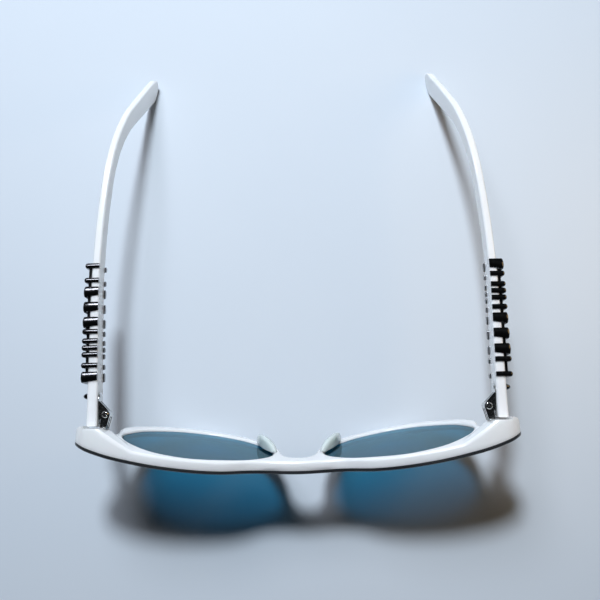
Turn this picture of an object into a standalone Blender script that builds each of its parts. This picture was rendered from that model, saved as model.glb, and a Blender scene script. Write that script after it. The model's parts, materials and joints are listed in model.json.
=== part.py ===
"""Cat eye sunglasses: a laminated acetate front, two tinted lenses and two folding temples.

Metres, +Z up. The front faces -Y and the temples run towards +Y. Left and right are the wearer's,
so the left side is +X. The glasses stand on their lower rims and temple tips at Z = 0.
"""

import math

import bmesh
import bpy
from mathutils import Matrix, Vector

MM = 0.001

# Front
LENS_WIDTH = 51.2 * MM
LENS_HEIGHT = 38.1 * MM
BRIDGE_WIDTH = 18.4 * MM
BRIDGE_HEIGHT = 6.2 * MM
BROW_HEIGHT = 3.3 * MM
RIM_WIDTH = 3.8 * MM
NASAL_RIM_WIDTH = 3.2 * MM
WING_REACH = 12.7 * MM
WING_OVERHANG = 3.5 * MM
WING_RISE = 5.2 * MM
WING_HEIGHT = 12.2 * MM
FRONT_THICKNESS = 4.4 * MM
LAMINATE_THICKNESS = 1.3 * MM
GLUE_GAP = 0.1 * MM
EDGE_ROUND = 0.9 * MM
FACE_FORM_RADIUS = 207 * MM
FRONT_TILT = math.radians(9.6)
END_PIECE_DEPTH = 8.25 * MM
END_PIECE_SPARE = 2.0 * MM
END_PIECE_LIP = 0.8 * MM
END_PIECE_CORNER = 2.4 * MM
END_PIECE_RAMP = 12.6 * MM
END_PIECE_RAMP_BEYOND = 6.2 * MM
END_PIECE_RAMP_SOFTNESS = 0.03
END_PIECE_FADE = 0.8

# Lenses
LENS_THICKNESS = 1.6 * MM
LENS_INSET = 2.1 * MM
LENS_CLEARANCE = 0.15 * MM
LENS_RIDGE = 0.4 * MM
LENS_EDGE_FLAT = 0.1 * MM

# Nose pads
PAD_LENGTH = 19.0 * MM
PAD_WIDTH = 4.4 * MM
PAD_DEPTH = 3.9 * MM
PAD_LEAN = 1.5 * MM
PAD_DROP = 2.5 * MM
PAD_SEAT = 2.2 * MM
PAD_GAP = 0.1 * MM

# Temples
TEMPLE_LENGTH = 143 * MM
TEMPLE_HEIGHT = 8.2 * MM
TEMPLE_NECK_HEIGHT = 6.2 * MM
TEMPLE_TIP_HEIGHT = 8.8 * MM
TEMPLE_THICKNESS = 3.5 * MM
TEMPLE_REAR_THICKNESS = 2.5 * MM
TEMPLE_EDGE_ROUND = 0.8 * MM
TEMPLE_TOE_IN = math.radians(0.1)
EAR_START = 82 * MM
EAR_RADIUS = 40 * MM
EAR_ANGLE = math.radians(46)
TIP_BOW = 12.3 * MM
TIP_BOW_START = 39 * MM
TEMPLE_SETBACK = 4.3 * MM
TEMPLE_BELOW_CREST = 6.2 * MM
BUTT_GAP = 0.4 * MM
TEMPLE_SIDE_GAP = 0.5 * MM
CORE_WIRE_DIAMETER = 1.0 * MM
CORE_WIRE_DROP = 2.4 * MM
CORE_WIRE_OUT = 0.3 * MM
CORE_WIRE_END = 12 * MM
CORE_CLEARANCE = 0.15 * MM

# Hinges
HINGE_OFFSET = 2.4 * MM
HINGE_HEIGHT = 5.0 * MM
KNUCKLE_COUNT = 5
KNUCKLE_DIAMETER = 2.8 * MM
KNUCKLE_GAP = 0.08 * MM
LEAF_THICKNESS = 0.8 * MM
LEAF_LENGTH = 11.0 * MM
FRONT_LEAF_START = 0.3 * MM
FRONT_LEAF_END = 3.6 * MM
FRONT_ARM_INNER = 0.1 * MM
FRONT_ARM_OUTER = 1.9 * MM
TEMPLE_ARM_FRONT = 1.6 * MM
TEMPLE_ARM_REAR = 4.8 * MM
LEAF_PROUD = 0.2 * MM
LEAF_CLEARANCE = 0.1 * MM
ANCHOR_DEPTH = 1.6 * MM
ANCHOR_WIDTH = 1.6 * MM
SCREW_DIAMETER = 1.4 * MM
SCREW_HEAD_DIAMETER = 2.2 * MM
SCREW_HEAD_HEIGHT = 0.8 * MM
SCREW_SLOT = 0.4 * MM
BORE_CLEARANCE = 0.08 * MM
RIVET_SETBACK = 9.8 * MM
RIVET_RISE = 1.2 * MM
RIVET_DIAMETER = 1.2 * MM
RIVET_HEAD_DIAMETER = 2.0 * MM
RIVET_HEAD_HEIGHT = 1.6 * MM

# Ornament on the temples
BAR_NARROW = 1.7 * MM
BAR_WIDE = 2.9 * MM
BAR_ROW_START = {"left": 13.75 * MM, "right": 16.05 * MM}
BAR_ROW_LENGTH = 36.4 * MM
BAR_PROUD = 2.2 * MM
BAR_FLARE = 0.1 * MM
BAR_FLARE_SHARE = 0.6
BAR_WALL = 0.7 * MM
BAR_GAP = 0.1 * MM
BAR_LIP = 0.35 * MM
BAR_LIP_RISE = 0.75 * MM
BAR_CORNER = 0.7 * MM
BAR_EDGE_ROUND = 0.25 * MM
RAIL_HEIGHT = 6.6 * MM
RAIL_THICKNESS = 0.8 * MM
RAIL_OVERHANG = 0.55 * MM

# Lens outline as shares of its boxed width and height, from the nasal corner over the top
EYE_SHAPE = (
    (0.000, 0.630),
    (0.104, 0.795),
    (0.328, 0.911),
    (0.621, 1.000),
    (0.855, 0.942),
    (1.000, 0.735),
    (0.969, 0.472),
    (0.807, 0.176),
    (0.572, 0.000),
    (0.328, 0.018),
    (0.129, 0.189),
    (0.027, 0.407),
)
EYE_TOP = range(1, 4)
EYE_TEMPORAL = range(5, 9)
EYE_NASAL = range(9, 12)

# The right row of clips from front to back, as shares of its length; the left row runs the other way
BAR_ROW = (
    (0.000, BAR_WIDE),
    (0.096, BAR_NARROW),
    (0.192, BAR_NARROW),
    (0.253, BAR_NARROW),
    (0.315, BAR_NARROW),
    (0.399, BAR_NARROW),
    (0.492, BAR_WIDE),
    (0.629, BAR_WIDE),
    (0.769, BAR_WIDE),
    (0.867, BAR_NARROW),
    (1.000, BAR_NARROW),
)

EYE_NASAL_U = BRIDGE_WIDTH / 2
EYE_TEMPORAL_U = EYE_NASAL_U + LENS_WIDTH
EYE_TOP_V = LENS_HEIGHT / 2
CREST_V = EYE_TOP_V + WING_RISE
RAMP_END_U = EYE_TEMPORAL_U + END_PIECE_RAMP_BEYOND
RAMP_START_U = RAMP_END_U - END_PIECE_RAMP
TEMPLE_V = CREST_V - TEMPLE_BELOW_CREST
RAMP_START_V = CREST_V - 1.38 * WING_HEIGHT
RAMP_END_V = CREST_V - 0.94 * WING_HEIGHT
CORE_BACK_W = -FRONT_THICKNESS
CORE_FRONT_W = -(LAMINATE_THICKNESS + GLUE_GAP)
LENS_MID_W = -(LENS_INSET + LENS_THICKNESS / 2)
STATION_STEP = 9 * MM
RAMP_STEP = 2.5 * MM
BEND_STEP = 5 * MM
EYE_STEPS = 4
FRONT_STEPS = 3
FLAT_ANGLE = 0.0005
KNUCKLE_SIDES = 16
CORNER_STEPS = 5
SEAT_REACH = 0.75 * WING_HEIGHT


def clear_scene():
    for obj in list(bpy.data.objects):
        bpy.data.objects.remove(obj, do_unlink=True)


def make_collection(name):
    collection = bpy.data.collections.new(name)
    bpy.context.scene.collection.children.link(collection)
    return collection


def material(name, colour, roughness, metallic=0.0, transmission=0.0):
    made = bpy.data.materials.new(name)
    made.use_nodes = True
    shader = made.node_tree.nodes["Principled BSDF"]
    shader.inputs["Base Color"].default_value = (*colour, 1.0)
    shader.inputs["Roughness"].default_value = roughness
    shader.inputs["Metallic"].default_value = metallic
    shader.inputs["Transmission Weight"].default_value = transmission
    made.diffuse_color = (*colour, 1.0)
    return made


def smoothstep(low, high, value):
    share = min(max((value - low) / (high - low), 0.0), 1.0)
    return share * share * (3 - 2 * share)


def blend_between(knots, value):
    """Straight line through (position, size) knots."""
    for (start, first), (end, second) in zip(knots, knots[1:]):
        if value <= end:
            share = max((value - start) / (end - start), 0.0)
            return first + (second - first) * share
    return knots[-1][1]


# Mesh helpers


def evaluated_mesh(obj):
    bpy.context.view_layer.update()
    graph = bpy.context.evaluated_depsgraph_get()
    return bpy.data.meshes.new_from_object(obj.evaluated_get(graph), depsgraph=graph)


def tool_object(name, mesh):
    obj = bpy.data.objects.new(name, mesh)
    obj.hide_render = True
    obj.display_type = "WIRE"
    bpy.data.collections["Cutters"].objects.link(obj)
    return obj


def weld(mesh):
    work = bmesh.new()
    work.from_mesh(mesh)
    bmesh.ops.remove_doubles(work, verts=work.verts, dist=0.000001)
    bmesh.ops.recalc_face_normals(work, faces=work.faces)
    work.to_mesh(mesh)
    work.free()
    return mesh


def outline_mesh(name, loops, half_flat, bevel=0.0, bevel_steps=0, grow=0.0):
    """A flat plate in XY from closed loops, Z from -(half_flat + bevel) to the same above.

    Each loop is (points, steps): straight between its points for 0 steps, else smooth through
    them. The plate's widest outline is grow outside the loops.
    """
    curve = bpy.data.curves.new(name, "CURVE")
    curve.dimensions = "2D"
    curve.fill_mode = "BOTH"
    curve.extrude = half_flat
    curve.bevel_depth = bevel
    curve.bevel_resolution = bevel_steps
    curve.offset = grow - bevel
    for loop, steps in loops:
        if steps:
            spline = curve.splines.new("BEZIER")
            spline.bezier_points.add(len(loop) - 1)
            for point, (x, y) in zip(spline.bezier_points, loop):
                point.co = (x, y, 0)
                point.handle_left_type = "AUTO"
                point.handle_right_type = "AUTO"
            spline.resolution_u = steps
        else:
            spline = curve.splines.new("POLY")
            spline.points.add(len(loop) - 1)
            for point, (x, y) in zip(spline.points, loop):
                point.co = (x, y, 0, 1)
        spline.use_cyclic_u = True
    obj = bpy.data.objects.new(name, curve)
    bpy.context.scene.collection.objects.link(obj)
    mesh = weld(evaluated_mesh(obj))
    bpy.data.objects.remove(obj, do_unlink=True)
    return mesh


def tube_mesh(name, path, radius):
    curve = bpy.data.curves.new(name, "CURVE")
    curve.dimensions = "3D"
    curve.bevel_depth = radius
    curve.bevel_resolution = 2
    curve.use_fill_caps = True
    spline = curve.splines.new("POLY")
    spline.points.add(len(path) - 1)
    for point, place in zip(spline.points, path):
        point.co = (*place, 1)
    obj = bpy.data.objects.new(name, curve)
    bpy.context.scene.collection.objects.link(obj)
    mesh = weld(evaluated_mesh(obj))
    bpy.data.objects.remove(obj, do_unlink=True)
    return mesh


def turned_mesh(name, profile, steps):
    """A profile of (radius, height) points, top to bottom, turned about Z."""
    mesh = bpy.data.meshes.new(name)
    points = [(radius, 0, height) for radius, height in profile]
    mesh.from_pydata(points, [(i, i + 1) for i in range(len(points) - 1)], [])
    obj = tool_object(name, mesh)
    screw = obj.modifiers.new("Turn", "SCREW")
    screw.steps = steps
    screw.render_steps = steps
    screw.use_merge_vertices = True
    screw.merge_threshold = 0.00001
    made = weld(evaluated_mesh(obj))
    bpy.data.objects.remove(obj, do_unlink=True)
    return made


def box_mesh(name, low, high):
    work = bmesh.new()
    bmesh.ops.create_cube(work, size=1.0)
    low, high = Vector(low), Vector(high)
    size = high - low
    bmesh.ops.scale(work, vec=size, verts=work.verts)
    bmesh.ops.translate(work, vec=(low + high) / 2, verts=work.verts)
    mesh = bpy.data.meshes.new(name)
    work.to_mesh(mesh)
    work.free()
    return mesh


def cylinder_mesh(name, radius, low, high, segments=16):
    """A cylinder on the Z axis from low to high."""
    work = bmesh.new()
    bmesh.ops.create_cone(
        work, cap_ends=True, segments=segments, radius1=radius, radius2=radius, depth=high - low
    )
    bmesh.ops.translate(work, vec=(0, 0, (low + high) / 2), verts=work.verts)
    mesh = bpy.data.meshes.new(name)
    work.to_mesh(mesh)
    work.free()
    return mesh


def combine(operation, mesh, *others):
    """The Boolean of mesh with each of the others in turn."""
    for other in others:
        body = tool_object("body", mesh)
        tool = tool_object("tool", other)
        step = body.modifiers.new("Cut", "BOOLEAN")
        step.operation = operation
        step.object = tool
        mesh = weld(evaluated_mesh(body))
        bpy.data.objects.remove(body, do_unlink=True)
        bpy.data.objects.remove(tool, do_unlink=True)
    return mesh


def sliced(mesh, axis, places):
    """Extra edge loops where planes square to an axis meet the mesh, so that it can be bent."""
    work = bmesh.new()
    work.from_mesh(mesh)
    bmesh.ops.dissolve_limit(
        work, angle_limit=FLAT_ANGLE, verts=work.verts, edges=work.edges, delimit={"SEAM"}
    )
    normal = Vector((0, 0, 0))
    normal[axis] = 1
    for place in places:
        cut = bmesh.ops.bisect_plane(
            work,
            geom=work.verts[:] + work.edges[:] + work.faces[:],
            plane_co=normal * place,
            plane_no=normal,
            dist=0.00001,
        )
        for item in cut["geom_cut"]:
            if isinstance(item, bmesh.types.BMEdge):
                item.seam = True
    work.to_mesh(mesh)
    work.free()
    return mesh


def half_kept(mesh, place, keep_above):
    """The closed part of a mesh above or below Z = place."""
    work = bmesh.new()
    work.from_mesh(mesh)
    cut = bmesh.ops.bisect_plane(
        work,
        geom=work.verts[:] + work.edges[:] + work.faces[:],
        plane_co=(0, 0, place),
        plane_no=(0, 0, 1),
        dist=0.0000001,
        clear_inner=keep_above,
        clear_outer=not keep_above,
    )
    rim = [item for item in cut["geom_cut"] if isinstance(item, bmesh.types.BMEdge)]
    bmesh.ops.triangle_fill(work, edges=rim, use_beauty=True)
    bmesh.ops.recalc_face_normals(work, faces=work.faces)
    made = bpy.data.meshes.new("half")
    work.to_mesh(made)
    work.free()
    return made


def moved(mesh, move):
    """The mesh in triangles, with each point put through a function."""
    work = bmesh.new()
    work.from_mesh(mesh)
    bmesh.ops.triangulate(work, faces=work.faces)
    for vertex in work.verts:
        vertex.co = move(vertex.co)
    work.to_mesh(mesh)
    work.free()
    return weld(mesh)


def mirrored(mesh):
    twin = mesh.copy()
    twin.transform(Matrix.Diagonal((-1, 1, 1, 1)))
    twin.flip_normals()
    return twin


def add_part(name, mesh, finish, parent):
    mesh = mesh.copy()
    mesh.name = name
    mesh.materials.clear()
    mesh.materials.append(finish)
    mesh.shade_smooth()
    mesh.set_sharp_from_angle(angle=math.radians(32))
    obj = bpy.data.objects.new(name, mesh)
    bpy.data.collections["Cat eye sunglasses"].objects.link(obj)
    obj.parent = parent
    return obj


def add_pair(name, mesh, finish, parents):
    add_part(f"{name}_left", mesh, finish, parents["left"])
    add_part(f"{name}_right", mirrored(mesh), finish, parents["right"])


def empty(name, location, parent=None):
    obj = bpy.data.objects.new(name, None)
    bpy.data.collections["Cat eye sunglasses"].objects.link(obj)
    obj.location = location
    obj.parent = parent
    return obj


# Front, first flat: u across, v up, w forward from the front face


def eye_outline():
    return [
        (EYE_NASAL_U + across * LENS_WIDTH, (up - 0.5) * LENS_HEIGHT) for across, up in EYE_SHAPE
    ]


def outward(points, index, distance):
    """The point of a clockwise loop moved square to its neighbours, away from the middle."""
    before, after = points[index - 1], points[(index + 1) % len(points)]
    along = Vector((after[0] - before[0], after[1] - before[1])).normalized()
    here = points[index]
    return (here[0] - along.y * distance, here[1] + along.x * distance)


def half_front_outline():
    """The left half of the front's outline, from the bridge's top over the wing to its underside."""
    eye = eye_outline()
    top = [(eye[i][0], eye[i][1] + BROW_HEIGHT) for i in EYE_TOP]
    bridge_top = top[0][1]
    wing = [
        (EYE_TEMPORAL_U - 0.57 * WING_REACH, CREST_V - 0.02 * WING_HEIGHT),
        (EYE_TEMPORAL_U + 0.40 * WING_REACH, CREST_V),
        (EYE_TEMPORAL_U + 0.85 * WING_REACH, CREST_V - 0.17 * WING_HEIGHT),
        (EYE_TEMPORAL_U + WING_REACH, CREST_V - 0.42 * WING_HEIGHT),
        (EYE_TEMPORAL_U + 0.87 * WING_REACH, CREST_V - 0.68 * WING_HEIGHT),
        (EYE_TEMPORAL_U + 0.58 * WING_REACH, CREST_V - WING_HEIGHT),
    ]
    rim = [outward(eye, i, RIM_WIDTH) for i in EYE_TEMPORAL]
    nasal = [outward(eye, i, NASAL_RIM_WIDTH) for i in EYE_NASAL]
    arch = (0.20 * BRIDGE_WIDTH, bridge_top - 1.2 * BRIDGE_HEIGHT)
    return (
        [(0, bridge_top)] + top + wing + rim + nasal + [arch] + [(0, bridge_top - BRIDGE_HEIGHT)]
    )


def front_outline():
    half = half_front_outline()
    other = [(-u, v) for u, v in reversed(half[1:-1])]
    return list(reversed(half + other))


def eye_loops():
    left = eye_outline()
    right = [(-u, v) for u, v in reversed(left)]
    return left, right


def thickened(point):
    """The end pieces grow straight back behind the lamination."""
    u, v, w = point
    behind = (CORE_FRONT_W - w) / (FRONT_THICKNESS + CORE_FRONT_W)
    if behind <= 0:
        return Vector((u, v, w))
    full = END_PIECE_DEPTH - FRONT_THICKNESS
    share = max(abs(u) - RAMP_START_U, 0.0) / END_PIECE_RAMP
    across = (1 + END_PIECE_RAMP_SOFTNESS) * share * share / (share + END_PIECE_RAMP_SOFTNESS)
    across = min(across, 1 + END_PIECE_SPARE / full)
    fade = END_PIECE_FADE * max(RAMP_END_U - abs(u), 0.0)
    up = smoothstep(RAMP_START_V + fade, RAMP_END_V + fade, v)
    upright = (v - TEMPLE_V) * math.tan(FRONT_TILT)
    growth = behind * across * up * (full + upright)
    out = math.copysign(growth * math.tan(abs(u) / FACE_FORM_RADIUS), u)
    return Vector((u + out, v, w - growth))


def formed(point):
    """The flat front bent round the face, still upright."""
    u, v, w = point
    turn = u / FACE_FORM_RADIUS
    radius = FACE_FORM_RADIUS + w
    return Vector(
        (radius * math.sin(turn), FACE_FORM_RADIUS - radius * math.cos(turn), v)
    )


def stations(low, high, step):
    count = math.ceil((high - low) / step)
    return [low + (high - low) * i / count for i in range(1, count)]


def lens_mesh():
    """A plate whose whole edge is a V that sits in the rim's groove."""
    loop = (eye_loops()[0], EYE_STEPS)
    lens = outline_mesh(
        "lens", [loop], LENS_EDGE_FLAT / 2, bevel=(LENS_THICKNESS - LENS_EDGE_FLAT) / 2, grow=LENS_RIDGE
    )
    lens.transform(Matrix.Translation((0, 0, LENS_MID_W)))
    sliced(lens, 0, stations(EYE_NASAL_U, EYE_TEMPORAL_U, STATION_STEP))
    return moved(lens, formed)


def groove_mesh(eye):
    """The lens's V edge with clearance, to cut from the rim."""
    depth = (LENS_THICKNESS - LENS_EDGE_FLAT) / 2
    groove = outline_mesh(
        "groove",
        [(eye, EYE_STEPS)],
        LENS_EDGE_FLAT / 2,
        bevel=depth,
        grow=LENS_RIDGE + LENS_CLEARANCE,
    )
    groove.transform(Matrix.Translation((0, 0, LENS_MID_W)))
    return groove


def front_meshes():
    """The white core and the dark front lamination, both bent to the face form."""
    left, right = eye_loops()
    blank = outline_mesh(
        "front",
        [(front_outline(), FRONT_STEPS), (left, EYE_STEPS), (right, EYE_STEPS)],
        FRONT_THICKNESS / 2 - EDGE_ROUND,
        bevel=EDGE_ROUND,
        bevel_steps=1,
    )
    blank.transform(Matrix.Translation((0, 0, -FRONT_THICKNESS / 2)))
    end = EYE_TEMPORAL_U + WING_REACH
    sliced(blank, 0, stations(-end, end, STATION_STEP))
    laminate = half_kept(blank, -LAMINATE_THICKNESS, True)
    core = half_kept(blank, CORE_FRONT_W, False)
    ramp = stations(RAMP_START_U - RAMP_STEP, RAMP_END_U + RAMP_STEP, RAMP_STEP)
    sliced(core, 0, ramp + [-u for u in ramp])
    rise = stations(RAMP_START_V - RAMP_STEP, CREST_V, RAMP_STEP)
    sliced(core, 1, rise)
    moved(core, thickened)
    core = combine("DIFFERENCE", core, groove_mesh(left), groove_mesh(right))
    return moved(core, formed), moved(laminate, formed)


def nose_pad_mesh():
    """Half an egg on the back of the nasal rim, leaning away from the nose."""
    work = bmesh.new()
    bmesh.ops.create_uvsphere(work, u_segments=16, v_segments=10, radius=1.0)
    mesh = bpy.data.meshes.new("pad")
    work.to_mesh(mesh)
    work.free()
    mesh = half_kept(mesh, 0.0, False)
    eye = eye_outline()
    upper = Vector(outward(eye, 0, PAD_SEAT))
    lower = Vector(outward(eye, 10, PAD_SEAT))
    along = (lower - upper).normalized()
    middle = (upper + lower) / 2 + along * PAD_DROP
    across = Vector((-along.y, along.x))

    def shape(point):
        depth = -point.z
        flat = (
            middle
            + along * (point.y * PAD_LENGTH / 2)
            + across * (point.x * PAD_WIDTH / 2 + depth * depth * PAD_LEAN)
        )
        return formed((flat.x, flat.y, CORE_BACK_W - PAD_GAP - depth * PAD_DEPTH))

    return moved(mesh, shape)


# Temple, in the frame of its hinge axis, for the left side: +X outward, +Y back


TEMPLE_BUTT_Y = BUTT_GAP - TEMPLE_SETBACK
NARROWING_START = 0.68 * EAR_START
HEIGHT_KNOTS = (
    (0, TEMPLE_HEIGHT),
    (NARROWING_START, 0.45 * TEMPLE_HEIGHT + 0.55 * TEMPLE_NECK_HEIGHT),
    (EAR_START * 1.08, TEMPLE_NECK_HEIGHT),
    (TEMPLE_LENGTH - TEMPLE_TIP_HEIGHT, TEMPLE_TIP_HEIGHT),
    (TEMPLE_LENGTH, TEMPLE_TIP_HEIGHT),
)


def temple_thickness(along):
    knots = ((0, TEMPLE_THICKNESS), (NARROWING_START, TEMPLE_REAR_THICKNESS))
    return blend_between(knots, along)


def temple_height(along):
    """Height across the centre line, closing in a round end at the tip."""
    height = blend_between(HEIGHT_KNOTS, along)
    from_end = TEMPLE_LENGTH - along
    reach = TEMPLE_TIP_HEIGHT * 0.55
    if from_end < reach:
        share = 1 - from_end / reach
        height *= math.sqrt(max(1 - share * share, 0.0))
    return height


def temple_line(along):
    """Centre line in the side view: (back, up, slope) at a length from the butt."""
    if along <= EAR_START:
        return along, 0.0, 0.0
    bend = min((along - EAR_START) / EAR_RADIUS, EAR_ANGLE)
    back = EAR_START + EAR_RADIUS * math.sin(bend)
    up = -EAR_RADIUS * (1 - math.cos(bend))
    tail = along - EAR_START - EAR_RADIUS * bend
    return back + tail * math.cos(bend), up - tail * math.sin(bend), bend


def temple_stations():
    bend_end = EAR_START + EAR_RADIUS * EAR_ANGLE
    tip = TEMPLE_LENGTH - TEMPLE_TIP_HEIGHT * 0.55
    places = [0.0] + sorted((NARROWING_START, TIP_BOW_START))
    places += [EAR_START] + stations(EAR_START, bend_end, BEND_STEP) + [bend_end]
    places += stations(bend_end, tip, BEND_STEP)
    places += [TEMPLE_LENGTH - (TEMPLE_LENGTH - tip) * (1 - math.sin(i * math.pi / 10)) for i in range(5)]
    return places


def temple_edge(along, side):
    back, up, slope = temple_line(along)
    half = side * temple_height(along) / 2
    return back + half * math.sin(slope), up + half * math.cos(slope)


def temple_middle(back):
    """How far the middle of the temple lies outside the hinge axis, toed in and bowed to the tip."""
    end = temple_line(TEMPLE_LENGTH)[0]
    bow = max((back - TIP_BOW_START) / (end - TIP_BOW_START), 0.0)
    start = HINGE_OFFSET + TEMPLE_THICKNESS / 2
    return start - back * math.tan(TEMPLE_TOE_IN) - TIP_BOW * bow * bow


def temple_pitch(axis_height):
    """Slope that brings the tip's underside down to the surface that the glasses stand on."""
    lowest = min(
        (temple_edge(place, -1) for place in temple_stations()), key=lambda edge: edge[1]
    )
    reach = math.hypot(*lowest)
    return math.asin(axis_height / reach) - math.atan2(-lowest[1], lowest[0])


def placed_on_temple(back, up, out, pitch):
    """A point given along, above and outside the temple's middle, in the hinge's frame."""
    return Vector(
        (
            temple_middle(back) + out,
            TEMPLE_BUTT_Y + back * math.cos(pitch) + up * math.sin(pitch),
            up * math.cos(pitch) - back * math.sin(pitch),
        )
    )


def temple_blank(pitch):
    places = temple_stations()
    upper = [temple_edge(place, 1) for place in places]
    lower = [temple_edge(place, -1) for place in places]
    tip = temple_line(TEMPLE_LENGTH)[:2]
    loop = lower + [tip] + upper[::-1]
    mesh = outline_mesh(
        "temple",
        [(loop, 0)],
        TEMPLE_THICKNESS / 2 - TEMPLE_EDGE_ROUND,
        bevel=TEMPLE_EDGE_ROUND,
        bevel_steps=1,
    )
    bowed = stations(TIP_BOW_START, temple_line(TEMPLE_LENGTH)[0], BEND_STEP)
    sliced(mesh, 0, [NARROWING_START, TIP_BOW_START] + bowed)
    path = [(-CORE_WIRE_DIAMETER, -CORE_WIRE_DROP, CORE_WIRE_OUT)]
    path += [core_point(place) for place in core_stations()]
    channel = tube_mesh("channel", path, CORE_WIRE_DIAMETER / 2 + CORE_CLEARANCE)
    mesh = combine("DIFFERENCE", mesh, channel)

    def shape(point):
        share = temple_thickness(point.x) / TEMPLE_THICKNESS
        return placed_on_temple(point.x, point.y, point.z * share, pitch)

    return moved(mesh, shape)


def core_stations():
    bend_end = EAR_START + EAR_RADIUS * EAR_ANGLE
    end = TEMPLE_LENGTH - CORE_WIRE_END
    bowed = stations(TIP_BOW_START, EAR_START, 1.5 * STATION_STEP)
    places = [BUTT_GAP] + sorted([NARROWING_START, TIP_BOW_START] + bowed)
    places += [EAR_START] + stations(EAR_START, bend_end, BEND_STEP) + [bend_end]
    return places + stations(bend_end, end, BEND_STEP) + [end]


def core_point(along):
    """The wire runs low at the hinge and on the centre line behind the ear bend."""
    back, up, slope = temple_line(along)
    low = CORE_WIRE_DROP * (1 - smoothstep(TIP_BOW_START, TEMPLE_LENGTH - CORE_WIRE_END, along))
    return back - low * math.sin(slope), up - low * math.cos(slope), CORE_WIRE_OUT


def core_wire_mesh(pitch):
    places = core_stations()
    places[-1] -= CORE_CLEARANCE
    path = [core_point(place) for place in places]
    mesh = tube_mesh("core", path, CORE_WIRE_DIAMETER / 2)

    def shape(point):
        share = temple_thickness(point.x) / TEMPLE_THICKNESS
        return placed_on_temple(point.x, point.y, point.z * share, pitch)

    return moved(mesh, shape)


# Hinge, in the frame of its axis


def knuckle_span(index):
    pitch = HINGE_HEIGHT / KNUCKLE_COUNT
    low = -HINGE_HEIGHT / 2 + index * pitch
    return low + KNUCKLE_GAP / 2, low + pitch - KNUCKLE_GAP / 2


def knuckle_mesh(index, base):
    """One barrel and its arm: the hull of a circle on the axis and the arm's base points."""
    radius = KNUCKLE_DIAMETER / 2
    turns = [2 * math.pi * i / KNUCKLE_SIDES for i in range(KNUCKLE_SIDES)]
    outline = [(radius * math.cos(turn), radius * math.sin(turn)) for turn in turns] + base
    work = bmesh.new()
    for height in knuckle_span(index):
        for x, y in outline:
            work.verts.new((x, y, height))
    hull = bmesh.ops.convex_hull(work, input=work.verts)
    inner = [item for item in hull["geom_interior"] if isinstance(item, bmesh.types.BMVert)]
    bmesh.ops.delete(work, geom=inner, context="VERTS")
    mesh = bpy.data.meshes.new("knuckle")
    work.to_mesh(mesh)
    work.free()
    return mesh


def hinge_bore():
    reach = HINGE_HEIGHT
    return cylinder_mesh("bore", SCREW_DIAMETER / 2 + BORE_CLEARANCE, -reach, reach)


def front_leaf_plate(grow):
    """The plate let into the end piece and the anchor behind it."""
    inner, outer = FRONT_LEAF_START - grow, FRONT_LEAF_END + grow
    middle = (outer + inner) / 2
    tall = HINGE_HEIGHT / 2 + grow
    seat = -TEMPLE_SETBACK
    sole = seat - LEAF_THICKNESS - grow
    plate = box_mesh("plate", (inner, sole, -tall), (outer, seat + grow, tall))
    sunk = seat - LEAF_THICKNESS - ANCHOR_DEPTH - grow
    anchor = box_mesh(
        "anchor",
        (middle - ANCHOR_WIDTH / 2 - grow, sunk, -tall / 2),
        (middle + ANCHOR_WIDTH / 2 + grow, seat - LEAF_THICKNESS / 2, tall / 2),
    )
    return combine("UNION", plate, anchor)


def seat_mesh(end):
    """What is cut off behind the end piece: a flat seat for the temple, a lip and a round corner."""
    side = HINGE_OFFSET + TEMPLE_THICKNESS + TEMPLE_SIDE_GAP
    lip = END_PIECE_LIP - TEMPLE_SETBACK
    corner = (end - END_PIECE_CORNER, lip - END_PIECE_CORNER)
    turns = [math.pi / 2 * i / CORNER_STEPS for i in range(CORNER_STEPS + 1)]
    arc = [
        (corner[0] + END_PIECE_CORNER * math.sin(turn), corner[1] + END_PIECE_CORNER * math.cos(turn))
        for turn in turns
    ]
    inner, outer = -END_PIECE_RAMP, end + WING_REACH
    loop = [(inner, -TEMPLE_SETBACK), (side, -TEMPLE_SETBACK), (side, lip)] + arc
    loop += [(outer, corner[1]), (outer, WING_REACH), (inner, WING_REACH)]
    return outline_mesh("seat", [(loop, 0)], SEAT_REACH)


def front_hinge_mesh():
    leaf = front_leaf_plate(0.0)
    root = -TEMPLE_SETBACK - LEAF_THICKNESS / 2
    base = [(-FRONT_ARM_INNER, root), (FRONT_ARM_OUTER, root)]
    for index in range(0, KNUCKLE_COUNT, 2):
        leaf = combine("UNION", leaf, knuckle_mesh(index, base))
    return combine("DIFFERENCE", leaf, hinge_bore())


def temple_leaf_plate(grow, inner):
    """The tongue let into the temple's inner side, round at its rear end."""
    front = TEMPLE_BUTT_Y + LEAF_THICKNESS - grow
    half = HINGE_HEIGHT / 2 + grow
    rear = TEMPLE_BUTT_Y + LEAF_LENGTH + grow
    round_centre = rear - half
    arc = [
        (round_centre + half * math.sin(turn), half * math.cos(turn))
        for turn in (math.pi * i / 10 for i in range(11))
    ]
    loop = [(front, half)] + arc + [(front, -half)]
    outer = HINGE_OFFSET - LEAF_PROUD + LEAF_THICKNESS + grow
    mesh = outline_mesh("tongue", [(loop, 0)], (outer - inner) / 2)
    mesh.transform(Matrix(((0, 0, 1, (outer + inner) / 2), (1, 0, 0, 0), (0, 1, 0, 0), (0, 0, 0, 1))))
    return mesh


def rivet_axis():
    """Turns a Z profile to point outward through the temple at the rivet."""
    place = Matrix.Translation((0, TEMPLE_BUTT_Y + RIVET_SETBACK, RIVET_RISE))
    return place @ Matrix.Rotation(math.pi / 2, 4, "Y")


def rivet_hole():
    hole = cylinder_mesh(
        "hole", RIVET_DIAMETER / 2 + BORE_CLEARANCE, 0, HINGE_OFFSET + 2 * TEMPLE_THICKNESS
    )
    hole.transform(rivet_axis())
    return hole


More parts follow.
